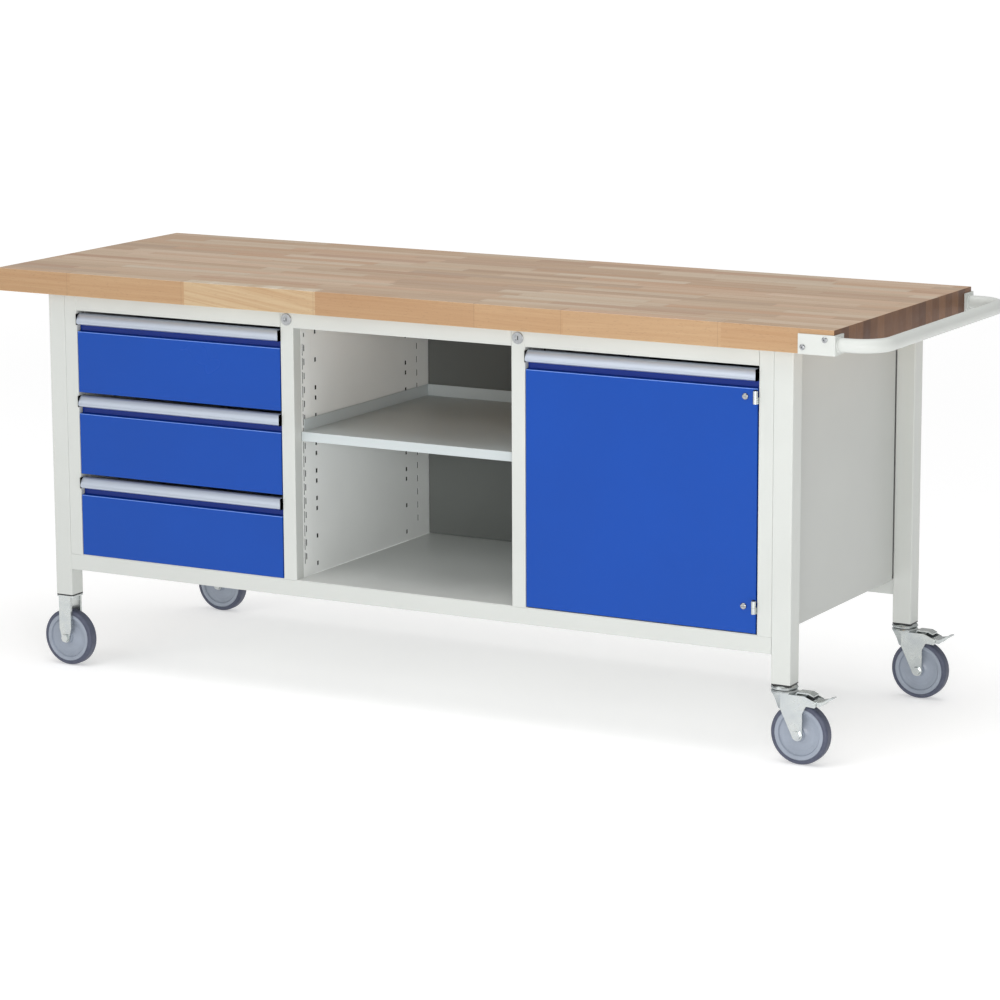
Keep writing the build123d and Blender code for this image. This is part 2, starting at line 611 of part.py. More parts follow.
def swivel_fork(x, y):
    """Raked fork: lower race, crown, nose, two side plates and the brake hood between them."""
    race = [(KINGPIN + 3, CROWN_TOP - 1), (HEAD_RADIUS - 1, CROWN_TOP - 1),
            (HEAD_RADIUS - 0.5, CROWN_TOP + 1), (HEAD_RADIUS, CROWN_TOP + 3),
            (HEAD_RADIUS - 2, RACE_TOP), (KINGPIN + 3, RACE_TOP)]
    crown = slab(x - 6, x + 50, y - FORK_INNER - 1, y + FORK_INNER + 1, CROWN_TOP - CROWN, CROWN_TOP)
    fork = crown + turned(race, x, y, 0) + fork_nose(x, y)
    trail = CASTOR_TRAIL
    blade = [(0, CROWN_TOP), (0, NOSE_BOTTOM), (trail - 11, WHEEL_RADIUS - 3),
             (trail + 11, WHEEL_RADIUS - 3), (48, 108), (56, 124), (77, 122), (77, 134),
             (52, CROWN_TOP)]
    blade = [(x + dx, z) for dx, z in blade]
    for side in (-1, 1):
        y0, y1 = sorted((y + side * FORK_INNER, y + side * FORK_OUTER))
        plate = along_y(blade, y0, y1)
        bends = [e for e in plate.edges().filter_by(Axis.Y)
                 if WHEEL_RADIUS < e.center().Z < CROWN_TOP - 1]
        plate = fillet(bends, 4.0)
        fork += plate + rod_y(x + trail, WHEEL_RADIUS, y0, y1, 11.5)
    hood = [(28, CROWN_TOP - 1), (33, 149), (58, 149), (69, 144), (69, 142), (58, 146.5),
            (34, 146.5), (31, CROWN_TOP - 1)]
    fork += along_y([(x + dx, z) for dx, z in hood], y - 13, y + 13)
    fork -= rod_z(x, y, CROWN_TOP - CROWN - 1, RACE_TOP + 1, KINGPIN + 0.08)
    fork -= rod_y(x + trail, WHEEL_RADIUS, y - 30, y + 30, AXLE_RADIUS)
    pivot_x, pivot_z = PEDAL_PIVOT
    return fork - rod_y(x + pivot_x, pivot_z, y - 30, y + 30, PEDAL_PIN + 0.06)


def brake_pedal(x, y):
    """Foot lever on its own pin, between the fork's arms."""
    pivot_x, pivot_z = x + PEDAL_PIVOT[0], PEDAL_PIVOT[1]
    half = FORK_INNER - 0.6
    barrel = rod_y(pivot_x, pivot_z, y - half, y + half, 6.0)
    pin = rod_y(pivot_x, pivot_z, y - FORK_OUTER - 1.2, y + FORK_OUTER + 1.2, PEDAL_PIN)
    lever = [(2, -3.5), (14, -5), (22, 2), (38, 12), (37.4, 14.5), (30, 12.5), (20, 6), (10, 4),
             (2, 4)]
    lever = along_y([(pivot_x + dx, pivot_z + dz) for dx, dz in lever], y - half, y + half)
    tip = [(pivot_x, -half), (pivot_x + 18, -half), (pivot_x + 30, -9), (pivot_x + 39, -9),
           (pivot_x + 39, 9), (pivot_x + 30, 9), (pivot_x + 18, half), (pivot_x, half)]
    outline = along_z([(px, y + dy) for px, dy in tip], pivot_z - 10, pivot_z + 20)
    slot = slab(pivot_x + 15, pivot_x + 31, y - 4, y + 4, pivot_z - 10, pivot_z + 20)
    return barrel + pin + (lever & outline) - slot


def wheel_ring(points, x, y):
    """A (radius, across) outline turned about a wheel's axle."""
    face = make_face(Polyline(*points, close=True))
    return Pos(x, y, WHEEL_RADIUS) * revolve(face, axis=Axis.Y)


def wheel_hub(x, y):
    """Moulded wheel centre with a boss, a dished web and a groove inside its rim."""
    half = WHEEL_WIDTH / 2
    bore = AXLE_RADIUS + 0.06
    side = [(bore, half + 4.5), (13.0, half + 4.5), (14.5, half - 1.0), (20.0, half - 3.6),
            (27.0, half - 5.2), (34.0, half - 5.6), (40.0, half - 4.6), (43.0, half - 4.2),
            (45.0, half - 0.5), (46.5, half), (HUB_RADIUS - 1, half), (HUB_RADIUS, half - 1)]
    mirrored = [(r, -across) for r, across in reversed(side)]
    return wheel_ring(side + mirrored, x, y)


def wheel_tyre(x, y):
    """Rubber tread with well rounded shoulders."""
    half = WHEEL_WIDTH / 2
    inner = HUB_RADIUS + 0.02
    ring = wheel_ring([(inner, half), (WHEEL_RADIUS, half), (WHEEL_RADIUS, -half), (inner, -half)],
                      x, y)
    rims = [e for e in ring.edges().filter_by(GeomType.CIRCLE) if e.radius > WHEEL_RADIUS - 1]
    return fillet(rims, 6.5)


# ---- write every node ---------------------------------------------------------------------
os.makedirs("parts", exist_ok=True)

save("worktop", worktop())
save("legs", *legs())
save("leg_caps", *leg_caps())
save("castor_stems", *castor_stems())
save("bottom_rails", *bottom_rails())
save("top_rails", *top_rails())
save("front_posts", *front_posts())
save("side_panels", *side_panels())
save("back_panel", back_panel())
save("inner_back_panels", *inner_back_panels())
save("drawer_bay_walls", lining(DRAWER_BAY[0], -1), lining(DRAWER_BAY[1], 1))
save("open_bay_walls", slotted_lining(OPEN_BAY[0], -1), slotted_lining(OPEN_BAY[1], 1))
save("cupboard_walls", slotted_lining(CUPBOARD[0], -1), slotted_lining(CUPBOARD[1], 1))
save("bay_floors", *bay_floors())
save("open_bay_shelf", shelf(*OPEN_BAY, SHELF_Z))
save("cupboard_shelf", shelf(*CUPBOARD, CUPBOARD_SHELF_Z))
save("shelf_clips", *shelf_clips())

save("fixed_runners", *[member for n in (1, 2, 3) for member in fixed_runners(n)])
for n in (1, 2, 3):
    opening_top, front_bottom = drawer_levels(n)
    left, right = DRAWER_BAY[0] + FRONT_GAP, DRAWER_BAY[1] - FRONT_GAP
    save(f"drawer_{n}_front", front_pan(left, right, opening_top, front_bottom))
    save(f"drawer_{n}_grip", grip_strip(left, right, opening_top))
    save(f"drawer_{n}_tray", tray(n))
    save(f"drawer_{n}_runners", *drawer_runners(n))
    save(f"middle_runners_{n}", *middle_runners(n))

save("door_panel", door_panel())
save("door_grip", grip_strip(DOOR_X0, DOOR_X1 - 1, OPEN_TOP))
save("hinge_frame_leaves", *hinge_frame_leaves())
save("hinge_door_leaves", *hinge_door_leaves())
save("door_screws", *door_screws())

save("lock_housings", *[lock_housing(x) for x in LOCK_X])
for side_name, lock_x in zip(("drawer", "door"), LOCK_X):
    save(f"{side_name}_lock_plug", lock_plug(lock_x))

save("push_bar", push_bar())
save("push_bar_brackets", push_bar_bracket(-1), push_bar_bracket(1))
save("bracket_screws", *bracket_screws())

fixed_x, swivel_x = LEG_X
save("fixed_forks", *[piece(fixed_x, y) for y in LEG_Y for piece in (fixed_fork, axle)])
save("swivel_heads", *[swivel_head(swivel_x, y) for y in LEG_Y])
for end_name, y in zip(("front", "rear"), LEG_Y):
    wheel_x = swivel_x + CASTOR_TRAIL
    save(f"swivel_fork_{end_name}", swivel_fork(swivel_x, y), axle(wheel_x, y))
    save(f"brake_pedal_{end_name}", brake_pedal(swivel_x, y))
    save(f"swivel_hub_{end_name}", wheel_hub(wheel_x, y))
    save(f"swivel_tyre_{end_name}", wheel_tyre(wheel_x, y))
    save(f"fixed_hub_{end_name}", wheel_hub(fixed_x, y))
    save(f"fixed_tyre_{end_name}", wheel_tyre(fixed_x, y))
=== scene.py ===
"""Finishes, small fittings, light and camera for a wheeled workbench with drawers.

Metres.  +X runs along the bench towards the push bar, -Y is the front, +Z is up.
"""
import json
import math

import bpy
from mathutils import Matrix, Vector


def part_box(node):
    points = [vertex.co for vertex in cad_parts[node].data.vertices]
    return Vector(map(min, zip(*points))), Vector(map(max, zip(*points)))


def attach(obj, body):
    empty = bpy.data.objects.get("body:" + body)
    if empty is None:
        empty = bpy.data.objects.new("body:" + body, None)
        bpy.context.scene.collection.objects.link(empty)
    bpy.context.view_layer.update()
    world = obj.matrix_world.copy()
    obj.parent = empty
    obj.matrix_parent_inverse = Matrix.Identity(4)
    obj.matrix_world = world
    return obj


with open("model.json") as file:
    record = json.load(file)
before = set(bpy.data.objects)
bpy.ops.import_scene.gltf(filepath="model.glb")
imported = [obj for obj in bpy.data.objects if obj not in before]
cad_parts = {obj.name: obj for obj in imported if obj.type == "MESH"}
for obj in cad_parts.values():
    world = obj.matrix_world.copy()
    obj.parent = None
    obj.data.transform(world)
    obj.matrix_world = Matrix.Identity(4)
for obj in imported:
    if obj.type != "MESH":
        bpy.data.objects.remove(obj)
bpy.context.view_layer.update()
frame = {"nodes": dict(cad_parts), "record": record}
cad_nodes = frame["nodes"]
top_low, top_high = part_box("worktop")


# ---- building a finish from nodes -----------------------------------------------------------
class Finish:
    """One surface finish: its node tree, with short calls for the nodes it uses."""

    def __init__(self, name):
        self.material = bpy.data.materials.new(name)
        self.material.use_nodes = True
        self.tree = self.material.node_tree
        self.surface = self.tree.nodes["Principled BSDF"]
        here = self.add("ShaderNodeTexCoord").outputs
        self.place = here["Object"]
        self.facing = here["Normal"]

    def add(self, kind, sockets=None, **settings):
        made = self.tree.nodes.new(kind)
        for key, value in settings.items():
            setattr(made, key, value)
        for key, value in (sockets or {}).items():
            self.put(made.inputs[key], value)
        return made

    def put(self, socket, value):
        if isinstance(value, bpy.types.NodeSocket):
            self.tree.links.new(value, socket)
        else:
            socket.default_value = value

    def maths(self, operation, *values):
        made = self.add("ShaderNodeMath", operation=operation)
        for socket, value in zip(made.inputs, values):
            self.put(socket, value)
        return made.outputs[0]

    def stretched(self, vector, scale, turn=(0.0, 0.0, 0.0)):
        """Coordinates scaled for a pattern, so that it can run along the part."""
        return self.add("ShaderNodeMapping", {"Vector": vector, "Rotation": turn,
                                              "Scale": scale}).outputs[0]

    def coordinate(self, vector, axis):
        """One of the three numbers of a vector: 0 for X, 1 for Y, 2 for Z."""
        return self.add("ShaderNodeSeparateXYZ", {"Vector": vector}).outputs[axis]

    def multiplied(self, colour, factors):
        return self.mixed(1.0, colour, factors, "MULTIPLY")

    def noise(self, vector, scale=1.0, detail=2.0, roughness=0.5, distortion=0.0):
        made = self.add("ShaderNodeTexNoise", {"Vector": vector, "Scale": scale, "Detail": detail,
                                               "Roughness": roughness, "Distortion": distortion})
        return made.outputs[0]

    def between(self, value, low, high, to_low=0.0, to_high=1.0):
        """Value moved from one range to another and held inside it."""
        made = self.add("ShaderNodeMapRange", {"Value": value, "From Min": low, "From Max": high,
                                               "To Min": to_low, "To Max": to_high})
        return made.outputs[0]

    def ramp(self, value, stops, interpolation="LINEAR"):
        made = self.add("ShaderNodeValToRGB", {"Fac": value})
        made.color_ramp.interpolation = interpolation
        points = made.color_ramp.elements
        while len(points) < len(stops):
            points.new(0.5)
        for point, (position, colour) in zip(points, stops):
            point.position = position
            point.color = (*colour, 1.0)
        return made.outputs[0]

    def mixed(self, amount, first, second, blend="MIX"):
        made = self.add("ShaderNodeMix", data_type="RGBA", blend_type=blend)
        self.put(made.inputs[0], amount)
        self.put(made.inputs[6], first)
        self.put(made.inputs[7], second)
        return made.outputs[2]

    def relief(self, height, distance, strength=1.0, under=None):
        """A bump of the given depth in metres, on top of another one if there is one."""
        made = self.add("ShaderNodeBump", {"Height": height, "Distance": distance,
                                           "Strength": strength})
        if under is not None:
            self.put(made.inputs["Normal"], under)
        return made.outputs[0]

    def finish(self, **sockets):
        for key, value in sockets.items():
            self.put(self.surface.inputs[key.replace("_", " ")], value)
        return self.material


# ---- beech worktop --------------------------------------------------------------------------
STAVE = 0.035
STAVE_MARGIN = 0.0001           # keeps the front face inside the first stave
STAVE_SQUEEZE = 0.9997          # keeps the rear face inside the last one
BLOCK_LENGTH = 0.31
BLOCK_SPREAD = 0.62             # how far the block lengths stray from that
FINGER = 0.006                  # length of a joint's teeth
TOOTH = 0.0022                  # half the pitch of the teeth
BLOCK_START = 37.0              # how far apart two staves may start their blocks, in blocks
# blocks of the front stave: where each starts, how pale it is, how far its grain leans
EDGE_BLOCKS = ((0.0, 0.34, 0.02), (0.0938, 0.40, 0.0), (0.2425, 1.0, 0.14), (0.4078, 0.24, 0.01),
               (0.6003, 0.38, 0.03), (0.7005, 0.48, -0.02), (0.8752, 0.36, 0.02))


def beech_worktop():
    """Glued staves of finger-jointed blocks, oiled, with end grain at both ends."""
    wood = Finish("oiled_beech_staves")
    along, across, up = (wood.coordinate(wood.place, axis) for axis in range(3))
    length = top_high.x - top_low.x

    from_front = wood.maths("ADD", across, STAVE_MARGIN - top_low.y)
    across_staves = wood.maths("MULTIPLY", from_front, STAVE_SQUEEZE / STAVE)
    stave = wood.maths("FLOOR", across_staves)
    stave_chance = wood.add("ShaderNodeTexWhiteNoise", {"W": stave}, noise_dimensions="1D")

    teeth = wood.maths("PINGPONG", across, TOOTH)
    toothed = wood.maths("MULTIPLY_ADD", teeth, FINGER / TOOTH, along)
    run = wood.maths("MULTIPLY_ADD", stave_chance.outputs[0], BLOCK_START,
                     wood.maths("DIVIDE", toothed, BLOCK_LENGTH))
    spread = {"W": run, "Scale": 1.0, "Randomness": BLOCK_SPREAD}
    cells = wood.add("ShaderNodeTexVoronoi", spread, voronoi_dimensions="1D")
    border = wood.add("ShaderNodeTexVoronoi", spread, voronoi_dimensions="1D",
                      feature="DISTANCE_TO_EDGE")
    block = wood.maths("ROUND", wood.maths("MULTIPLY", cells.outputs["W"], 50.0))
    block_key = wood.add("ShaderNodeCombineXYZ", {"X": block, "Y": stave})
    block_chance = wood.add("ShaderNodeTexWhiteNoise", {"Vector": block_key.outputs[0]},
                            noise_dimensions="3D")

    # the front stave: its blocks stand where EDGE_BLOCKS says
    share = wood.maths("DIVIDE", wood.maths("SUBTRACT", along, top_low.x), length)
    tones = [(place, (tone,) * 3) for place, tone, _lean in EDGE_BLOCKS]
    leans = [(place, (0.5 + lean,) * 3) for place, _tone, lean in EDGE_BLOCKS]
    edge_tone = wood.ramp(share, tones, "CONSTANT")
    edge_lean = wood.ramp(share, leans, "CONSTANT")
    on_edge = wood.maths("LESS_THAN", stave, 0.5)
    tone = wood.mixed(on_edge, wood.between(block_chance.outputs[0], 0.0, 1.0, 0.08, 0.74),
                      edge_tone)

    # figure: long soft streaks, fine fibre, and the short dark flecks that beech has
    moved = wood.add("ShaderNodeVectorMath", operation="MULTIPLY_ADD")
    wood.put(moved.inputs[0], block_chance.outputs[1])
    moved.inputs[1].default_value = (3.0, 0.5, 0.5)
    wood.put(moved.inputs[2], wood.place)
    streaks_at = wood.stretched(moved.outputs[0], (2.2, 55.0, 38.0), (0.0, 0.0, 0.025))
    lean = wood.maths("MULTIPLY", wood.maths("SUBTRACT", edge_lean, 0.5), on_edge)
    risen = wood.maths("MULTIPLY_ADD", along, lean, up)
    leaning = wood.add("ShaderNodeCombineXYZ", {"X": wood.maths("MULTIPLY", along, 2.0),
                                                "Z": wood.maths("MULTIPLY", risen, 150.0)})
    edge_streaks = wood.noise(leaning.outputs[0], 1.0, 4.0, 0.6, 0.4)
    streaks = wood.mixed(on_edge, wood.noise(streaks_at, 1.0, 4.0, 0.55, 0.9), edge_streaks)
    fibre_at = wood.stretched(moved.outputs[0], (14.0, 620.0, 620.0))
    fibre = wood.noise(fibre_at, 1.0, 5.0, 0.7)
    fleck_at = wood.stretched(moved.outputs[0], (120.0, 900.0, 900.0))
    flecks = wood.between(wood.noise(fleck_at, 1.0, 1.0), 0.66, 0.72)

    fresh = wood.ramp(tone, [(0.0, (0.515, 0.322, 0.174)), (0.30, (0.612, 0.391, 0.202)),
                             (0.62, (0.676, 0.469, 0.263)), (1.0, (0.764, 0.598, 0.367))])
    # the top face alone is tinted greyer and cooler: partly painted sheen, partly a random tone
    # block by block
    hue_chance = wood.add("ShaderNodeSeparateColor", {"Color": block_chance.outputs[1]})
    top_sheen_tint = wood.ramp(hue_chance.outputs[2], [(0.0, (0.835, 0.875, 1.11)),
                                            (0.5, (0.820, 0.930, 1.21)),
                                            (1.0, (0.805, 0.950, 1.27))])
    on_top = wood.between(up, top_high.z - 0.0012, top_high.z - 0.0004)
    base = wood.mixed(on_top, fresh, wood.multiplied(fresh, top_sheen_tint))
    figure = wood.maths("MULTIPLY", wood.between(streaks, 0.35, 0.68),
                        wood.maths("MULTIPLY_ADD", lean, 3.2, 0.52))
    figured = wood.mixed(figure, base, wood.multiplied(base, (0.80, 0.68, 0.58, 1.0)))
    fibred = wood.mixed(wood.between(fibre, 0.3, 0.75, 0.0, 0.30), figured,
                        wood.multiplied(figured, (0.66, 0.58, 0.52, 1.0)))
    flecked = wood.mixed(wood.maths("MULTIPLY", flecks, 0.35), fibred,
                         (0.20, 0.105, 0.055, 1.0))

    # glue lines between staves and the toothed joints between blocks
    beside = wood.maths("PINGPONG", across_staves, 0.5)
    glue = wood.between(beside, 0.004, 0.012, 1.0, 0.0)
    joint = wood.between(border.outputs["Distance"], 0.0007, 0.0022, 1.0, 0.0)
    inner_joint = wood.maths("MULTIPLY", joint, wood.maths("SUBTRACT", 1.0, on_edge))
    lines = wood.maths("MAXIMUM", wood.maths("MULTIPLY", glue, 0.40),
                       wood.maths("MULTIPLY", inner_joint, 0.60))
    for place, _tone, _lean in EDGE_BLOCKS[1:]:
        near = wood.maths("ABSOLUTE", wood.maths("SUBTRACT", share, place))
        line = wood.maths("MULTIPLY", wood.between(near, 0.0002, 0.0006, 0.6, 0.0), on_edge)
        lines = wood.maths("MAXIMUM", lines, line)
    sides = wood.mixed(lines, flecked, (0.19, 0.105, 0.060, 1.0))

    # end grain: growth rings cut across, one arc pattern per stave; the ends' dark tone is partly
    # the end grain's own and partly painted shade
    ring_place = wood.maths("MULTIPLY_ADD", stave_chance.outputs[0], 4.0, across)
    end_shift = wood.add("ShaderNodeCombineXYZ", {"Y": ring_place,
                                                  "Z": wood.maths("ADD", up, -0.80)})
    rings = wood.add("ShaderNodeTexWave", {"Vector": end_shift.outputs[0], "Scale": 46.0,
                                           "Distortion": 2.4, "Detail": 3.0,
                                           "Detail Scale": 0.6},
                     wave_type="RINGS", rings_direction="X").outputs[1]
    pores = wood.noise(wood.place, 900.0, 2.0, 0.6)
    # dark tone of the end faces: partly end grain, partly painted shade
    end_grain_and_shade_tone = wood.ramp(stave_chance.outputs[0], [(0.0, (0.095, 0.034, 0.011)),
                                                   (0.5, (0.145, 0.058, 0.020)),
                                                   (1.0, (0.225, 0.102, 0.040))])
    ringed = wood.mixed(wood.between(rings, 0.2, 0.9, 0.0, 0.40), end_grain_and_shade_tone,
                        (0.090, 0.034, 0.012, 1.0))
    porous = wood.mixed(wood.between(pores, 0.45, 0.65, 0.0, 0.25), ringed,
                        (0.070, 0.028, 0.011, 1.0))
    end_face = wood.mixed(wood.maths("MULTIPLY", glue, 0.7), porous, (0.05, 0.024, 0.012, 1.0))

    middle = (top_low.x + top_high.x) / 2
    from_middle = wood.maths("ABSOLUTE", wood.maths("SUBTRACT", along, middle))
    on_end = wood.between(from_middle, length / 2 - 0.0009, length / 2 - 0.0003)
    colour = wood.mixed(on_end, sides, end_face)

    shine = wood.between(wood.maths("ADD", fibre, streaks), 0.7, 1.4, 0.40, 0.56)
    grain_relief = wood.relief(fibre, 0.00006, 0.5)
    line_relief = wood.relief(wood.maths("SUBTRACT", 1.0, lines), 0.00015, 0.5, grain_relief)
    return wood.finish(Base_Color=colour, Roughness=shine, Normal=line_relief,
                       Specular_IOR_Level=0.42)


# ---- paint, metal and plastic ---------------------------------------------------------------
def powder_coat(name, colour, gloss_low, gloss_high, grime, gleam=0.40, touch=None):
    """Sprayed and baked coat: a fine orange-peel skin, faint cloudiness and a little grime.

    touch is a function that adds what only some sheets show, such as painted highlights and
    painted shade.
    """
    coat = Finish(name)
    cloud = coat.noise(coat.place, 3.5, 3.0, 0.6)
    speck = coat.noise(coat.place, 1400.0, 1.0)
    peel = coat.noise(coat.place, 520.0, 2.0, 0.45)
    lighter = tuple(min(1.0, c * 1.025) for c in colour)
    darker = tuple(c * 0.965 for c in colour)
    tint = coat.ramp(cloud, [(0.32, darker), (0.68, lighter)])
    specked = coat.mixed(coat.between(speck, 0.60, 0.75, 0.0, 0.10), tint,
                         (*[c * 0.72 for c in colour], 1.0))
    height = coat.coordinate(coat.place, 2)
    low_down = coat.between(height, 0.16, 0.30, grime, 0.0)
    smudge = coat.maths("MULTIPLY", low_down, coat.between(cloud, 0.40, 0.70))
    worn = coat.mixed(smudge, specked, (0.30, 0.29, 0.27, 1.0))
    if touch is not None:
        worn = touch(coat, worn)
    shine = coat.between(cloud, 0.3, 0.7, gloss_low, gloss_high)
    return coat.finish(Base_Color=worn, Roughness=shine, Specular_IOR_Level=gleam,
                       Normal=coat.relief(peel, 0.00012, 0.25))


def front_bend_highlight_and_recess_shade(coat, worn):
    """A touch for the bent fronts: a painted highlight, pale blue, over the upturned fold, and
    painted shade in the recess set back from the face.
    """
    facing = coat.coordinate(coat.facing, 2)
    # painted highlight: faces turned partly upward at the fold are mixed towards pale blue
    rising = coat.between(facing, 0.12, 0.40)
    bend_highlight_mask = coat.maths("MULTIPLY", rising, coat.between(facing, 0.86, 0.96, 1.0, 0.0))
    face_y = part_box("drawer_1_front")[0].y
    # painted shade: faces 2 to 7 mm back from the front face are darkened
    recess_shade_mask = coat.between(coat.coordinate(coat.place, 1), face_y + 0.002, face_y + 0.007)
    deep = coat.mixed(recess_shade_mask, worn, coat.multiplied(worn, (0.12, 0.36, 0.60, 1.0)))
    return coat.mixed(coat.maths("MULTIPLY", bend_highlight_mask, 0.85), deep, (0.22, 0.38, 0.92, 1.0))


def cavity_painted_shade(middle):
    """A touch that paints shade on a bay's sheets: near black on the sides turned away from the
    bay's middle.
    """
    def touch(coat, worn):
        from_middle = coat.maths("SUBTRACT", coat.coordinate(coat.place, 0), middle)
        away = coat.maths("SIGN", from_middle)
        outward = coat.maths("MULTIPLY", away, coat.coordinate(coat.facing, 0))
        # painted shade: the sides facing the closed cavity are made near black
        cavity_shade_mask = coat.maths("GREATER_THAN", outward, 0.5)
        return coat.mixed(cavity_shade_mask, worn, (0.012, 0.012, 0.012, 1.0))
    return touch


def dim_upwards(coat, worn):
    """A touch for sheets deep in a bay: darker towards the top, where little light reaches."""
    dimness = coat.between(coat.coordinate(coat.place, 2), 0.36, 0.72, 0.0, 0.42)
    return coat.mixed(dimness, worn, (0.030, 0.030, 0.029, 1.0))


def brushed_aluminium():
    """Anodised strip, its fine draw lines running along the bench."""
    metal = Finish("anodised_aluminium")
    draw_lines = metal.noise(metal.stretched(metal.place, (3.0, 900.0, 900.0)), 1.0, 4.0, 0.65)
    bands = metal.noise(metal.stretched(metal.place, (0.8, 160.0, 160.0)), 1.0, 2.0)
    tint = metal.ramp(draw_lines, [(0.30, (0.44, 0.49, 0.57)), (0.70, (0.52, 0.57, 0.65))])
    banded = metal.mixed(metal.between(bands, 0.4, 0.7, 0.0, 0.18), tint,
                         (0.60, 0.65, 0.73, 1.0))
    shine = metal.between(draw_lines, 0.3, 0.7, 0.36, 0.48)
    return metal.finish(Base_Color=banded, Metallic=0.62, Roughness=shine,
                        Normal=metal.relief(draw_lines, 0.00003, 0.35))


def zinc_plate():
    """Bright zinc with a soft bloom, and painted shade on the sides that face away from the push
    bar.
    """
    metal = Finish("zinc_plate")
    bloom = metal.noise(metal.place, 30.0, 4.0, 0.60)
    crystals = metal.add("ShaderNodeTexVoronoi", {"Vector": metal.place, "Scale": 420.0,
                                                  "Randomness": 1.0}).outputs["Color"]
    crystal = metal.add("ShaderNodeSeparateColor", {"Color": crystals}).outputs[0]
    tint = metal.ramp(bloom, [(0.28, (0.50, 0.53, 0.54)), (0.52, (0.58, 0.61, 0.60)),
                              (0.75, (0.64, 0.66, 0.63))])
    mottled = metal.mixed(metal.between(crystal, 0.0, 1.0, 0.0, 0.06), tint,
                          (0.34, 0.37, 0.40, 1.0))
    # painted shade: faces turned away from the push bar are darkened
    side_shade_mask = metal.between(metal.coordinate(metal.facing, 0), -0.55, -0.15, 0.62, 0.0)
    side_shaded = metal.mixed(side_shade_mask, mottled, (0.27, 0.30, 0.33, 1.0))
    shine = metal.between(bloom, 0.3, 0.7, 0.20, 0.32)
    return metal.finish(Base_Color=side_shaded, Metallic=0.9, Roughness=shine,
                        Normal=metal.relief(bloom, 0.0001, 0.25))


def bright_chrome():
    """Polished plate with a slight haze, on the locks and screws."""
    metal = Finish("bright_chrome")
    haze = metal.noise(metal.place, 180.0, 3.0, 0.6)
    tint = metal.ramp(haze, [(0.3, (0.32, 0.33, 0.34)), (0.7, (0.44, 0.45, 0.46))])
    shine = metal.between(haze, 0.35, 0.7, 0.10, 0.20)
    return metal.finish(Base_Color=tint, Metallic=1.0, Roughness=shine,
                        Normal=metal.relief(haze, 0.00005, 0.2))


def moulded_plastic(name, colour, roughness, grain):
    """Injection-moulded plastic with a spark-eroded skin."""
    plastic = Finish(name)
    skin = plastic.noise(plastic.place, 1500.0, 2.0, 0.5)
    flow = plastic.noise(plastic.place, 26.0, 3.0, 0.5)
    tint = plastic.ramp(flow, [(0.3, tuple(c * 0.93 for c in colour)),
                               (0.7, tuple(min(1.0, c * 1.06) for c in colour))])
    shine = plastic.between(flow, 0.3, 0.7, roughness - 0.04, roughness + 0.06)
    return plastic.finish(Base_Color=tint, Roughness=shine,
                          Normal=plastic.relief(skin, 0.00008, grain))


def rolled_rubber():
    """Tread rubber: matt, with dust and scuffs from rolling."""
    rubber = Finish("tread_rubber")
    dust = rubber.noise(rubber.place, 70.0, 4.0, 0.65)
    scuff = rubber.noise(rubber.stretched(rubber.place, (60.0, 900.0, 60.0)), 1.0, 2.0, 0.6)
    tint = rubber.ramp(dust, [(0.30, (0.050, 0.058, 0.095)), (0.75, (0.082, 0.092, 0.135))])
    scuffed = rubber.mixed(rubber.between(scuff, 0.58, 0.76, 0.0, 0.30), tint,
                           (0.16, 0.165, 0.19, 1.0))
    shine = rubber.between(dust, 0.3, 0.7, 0.42, 0.60)
    return rubber.finish(Base_Color=scuffed, Roughness=shine,
                         Normal=rubber.relief(scuff, 0.00015, 0.3))


LIGHT_GREY = (0.570, 0.588, 0.562)
FINISHES = {
    "beech": beech_worktop(),
    "frame_paint": powder_coat("light_grey_coat", LIGHT_GREY, 0.34, 0.44, 0.10),
    "panel_paint": powder_coat("light_grey_sheet_coat", (0.640, 0.650, 0.630), 0.32, 0.42, 0.0),
    # the blue fronts carry a painted highlight on their fold and painted shade in their recess
    "blue_paint": powder_coat("gentian_blue_coat", (0.0025, 0.057, 0.345), 0.20, 0.28, 0.0, 0.24,
                              front_bend_highlight_and_recess_shade),
    "grip_aluminium": brushed_aluminium(),
    "zinc": zinc_plate(),
    "chrome": bright_chrome(),
    "cap_plastic": moulded_plastic("black_cap_plastic", (0.012, 0.012, 0.013), 0.42, 0.5),
    "hub_plastic": moulded_plastic("hub_plastic", (0.280, 0.315, 0.375), 0.36, 0.3),
    "tread": rolled_rubber(),
}


def bay_middle(node):
    """Halfway between a bay's two linings, along the bench."""
    low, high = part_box(node)
    return (low.x + high.x) / 2


# sheets that are a tone of their own, as painted light and shade: darker inner backs, shelf and
# outer sides, paler bay linings
LIT_AND_SHADED_SHEETS = {
    # painted shade: the inner backs are far darker than the other sheets
    "inner_back_panels": powder_coat("inner_back_painted_shade_coat", (0.165, 0.175, 0.165), 0.34, 0.44, 0.0,
                                     touch=dim_upwards),
    # painted shade: the shelf and the outer sides are darker than the sheet paint
    "open_bay_shelf": powder_coat("open_bay_shelf_painted_shade_coat", (0.510, 0.555, 0.560), 0.32, 0.42, 0.0),
    "side_panels": powder_coat("outer_side_painted_shade_coat", (0.500, 0.515, 0.493), 0.32, 0.42, 0.0),
}
# painted light: the bay linings are paler than the sheet paint
for bay in ("drawer_bay_walls", "open_bay_walls", "cupboard_walls"):
    LIT_AND_SHADED_SHEETS[bay] = powder_coat(f"{bay}_coat", (0.830, 0.845, 0.825), 0.32, 0.42, 0.0,
                              touch=cavity_painted_shade(bay_middle(bay)))

for part in frame["record"]["subparts"]:
    mesh = cad_nodes[part["node"]].data
    mesh.materials.clear()
    mesh.materials.append(LIT_AND_SHADED_SHEETS.get(part["node"], FINISHES[part["material_slot"]]))


